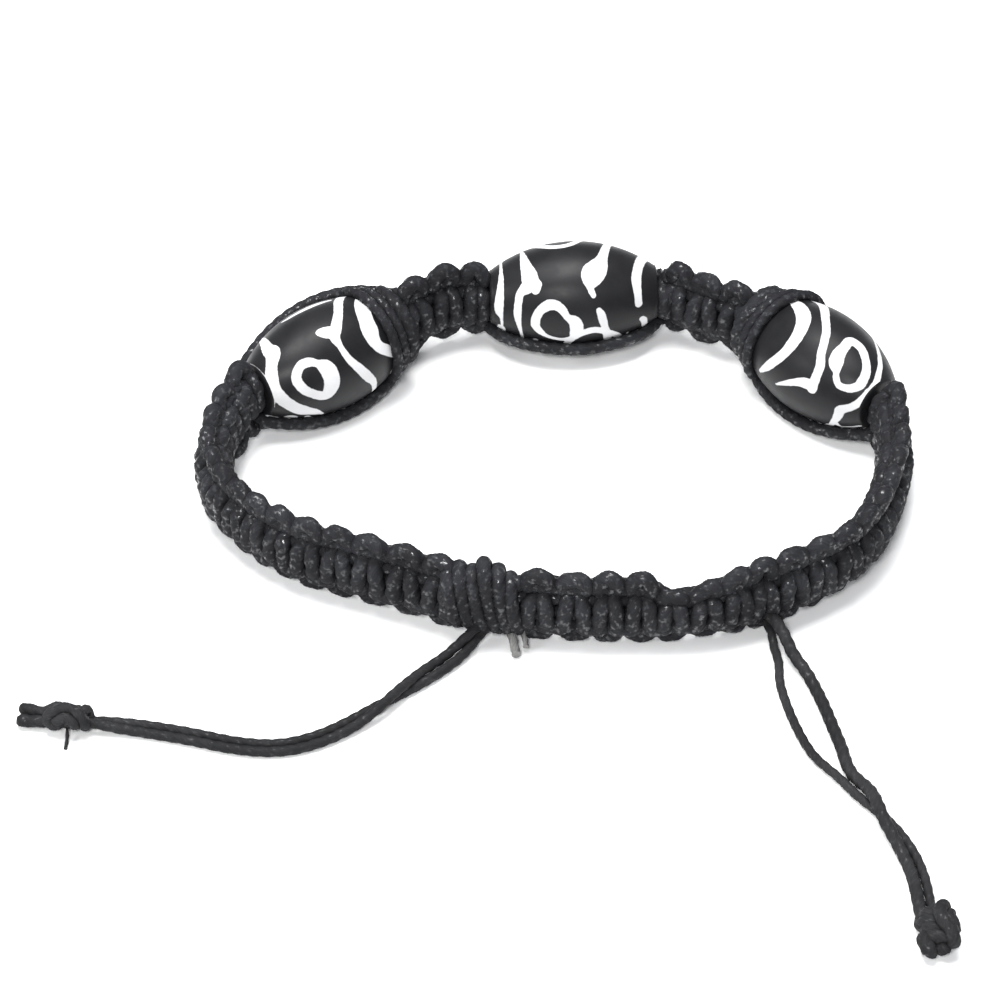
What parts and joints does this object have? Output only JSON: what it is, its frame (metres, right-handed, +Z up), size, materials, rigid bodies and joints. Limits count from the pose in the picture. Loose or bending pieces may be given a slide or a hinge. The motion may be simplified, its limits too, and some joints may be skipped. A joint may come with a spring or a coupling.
{
  "type": "dzi bead macrame bracelet",
  "caption": "Adjustable knotted cord bracelet with oval agate beads on one side, a sliding square-knot closure on the other and two loose ties with end knots.",
  "frame": {"origin": "middle of the loop's bounding box, on the surface it lies on, the ties left out", "axes": "+Z up out of the surface, +X to the right along the loop's long way, +Y towards the beads, -Y towards the sliding knot and the ties"},
  "size_m": [0.0931, 0.104, 0.0118],
  "materials": {
    "bead": "satin black agate with white dzi lines",
    "band": "black waxed cotton cord, knotted",
    "cord": "black waxed cotton cord"
  },
  "bodies": {
    "root": {"bead_left": "bead", "bead_middle": "bead", "bead_right": "bead", "core_cord_left": "cord", "core_cord_middle": "cord", "core_cord_right": "cord", "side_cord_left_upper": "cord", "side_cord_left_lower": "cord", "side_cord_middle_upper": "cord", "side_cord_middle_lower": "cord", "side_cord_right_upper": "cord", "side_cord_right_lower": "cord", "band_left_inner": "band", "band_right_inner": "band", "band_left_outer": "band", "band_right_outer": "band", "sliding_knot": "band", "tie_left_a": "cord", "tie_left_b": "cord", "tie_right_a": "cord", "tie_right_b": "cord", "end_knot_left": "cord", "end_knot_right": "cord"}
  },
  "joints": []
}
